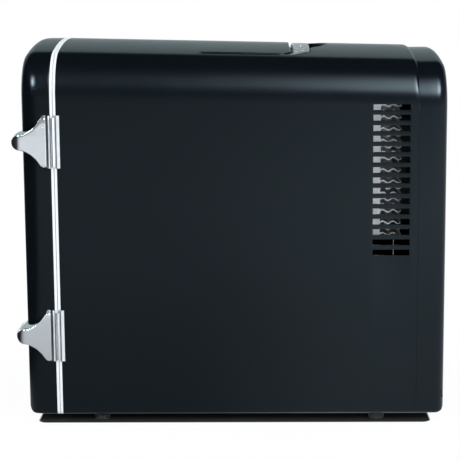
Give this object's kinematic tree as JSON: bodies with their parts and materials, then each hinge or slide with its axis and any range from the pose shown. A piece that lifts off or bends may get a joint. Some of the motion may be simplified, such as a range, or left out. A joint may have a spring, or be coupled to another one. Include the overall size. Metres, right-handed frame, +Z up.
{
  "type": "mini fridge",
  "caption": "Small upright thermoelectric fridge: black crowned casing, chrome-hinged door, flush bail handle on top, vented rear cooling unit.",
  "frame": {"origin": "on the floor under the middle of the object's box", "axes": "+Z up, door towards -Y, door hinges on the +X side"},
  "size_m": [0.1988, 0.3063, 0.2705],
  "materials": {
    "black_shell": "black moulded ABS with a light sheen",
    "white_moulding": "white polystyrene, satin",
    "insulation": "rigid foam, matte",
    "chrome": "chrome plate, polished",
    "steel": "zinc-plated steel",
    "aluminium": "extruded aluminium",
    "black_plastic": "black moulded plastic",
    "light_plastic": "light grey moulded plastic",
    "rubber": "black rubber",
    "gasket_vinyl": "soft grey-white vinyl",
    "ceramic": "alumina",
    "board": "green circuit board with its parts",
    "lens": "green translucent lens",
    "shelf_plastic": "pale moulded shelf"
  },
  "bodies": {
    "cabinet": {"outer_casing": "black_shell", "handle_well": "black_shell", "inner_liner": "white_moulding", "cabinet_foam": "insulation", "rear_cover": "black_shell", "cover_screws": "steel", "hot_heat_sink": "aluminium", "peltier_module": "ceramic", "spacer_block": "aluminium", "cold_heat_sink": "aluminium", "clamp_screws": "steel", "hot_fan_frame": "black_plastic", "fan_screws": "steel", "cold_fan_frame": "light_plastic", "cold_cover": "white_moulding", "cold_cover_screws": "steel", "power_board": "board", "mains_inlet": "black_plastic", "dc_inlet": "black_plastic", "switch_housing": "black_plastic", "indicator_lens": "lens", "shelf": "shelf_plastic", "feet": "rubber", "foot_screws": "steel", "upper_cabinet_leaf": "chrome", "lower_cabinet_leaf": "chrome", "hinge_pins": "steel", "leaf_screws": "steel", "door_strikers": "steel", "handle_pins": "steel"},
    "door": {"door_shell": "black_shell", "door_foam": "insulation", "door_liner": "white_moulding", "door_gasket": "gasket_vinyl", "door_bar": "white_moulding", "door_magnets": "steel", "upper_door_leaf": "chrome", "lower_door_leaf": "chrome", "upper_hinge_wing": "chrome", "lower_hinge_wing": "chrome", "wing_screws": "steel", "door_pull": "chrome", "pull_screws": "steel"},
    "carry_handle": {"carry_handle": "chrome"},
    "hot_fan_rotor": {"hot_fan_rotor": "black_plastic"},
    "cold_fan_rotor": {"cold_fan_rotor": "light_plastic"},
    "mode_rocker": {"mode_rocker": "black_plastic"}
  },
  "joints": [
    {"name": "door_hinge", "type": "hinge", "parent": "cabinet", "child": "door", "pos_m": [0.0969, -0.12285, 0.1323], "axis": [0, 0, 1], "range_deg": [0, 150]},
    {"name": "handle_pivot", "type": "hinge", "parent": "cabinet", "child": "carry_handle", "pos_m": [0, -0.01411, 0.25567], "axis": [1, 0, 0], "range_deg": [0, 95]},
    {"name": "hot_fan_spin", "type": "hinge", "parent": "cabinet", "child": "hot_fan_rotor", "pos_m": [0, 0.13735, 0.1746], "axis": [0, 1, 0], "continuous": true},
    {"name": "cold_fan_spin", "type": "hinge", "parent": "cabinet", "child": "cold_fan_rotor", "pos_m": [0, 0.04145, 0.1746], "axis": [0, 1, 0], "continuous": true},
    {"name": "mode_switch", "type": "hinge", "parent": "cabinet", "child": "mode_rocker", "pos_m": [0.038, 0.14975, 0.045], "axis": [0, 0, 1], "range_deg": [-10, 10]}
  ]
}
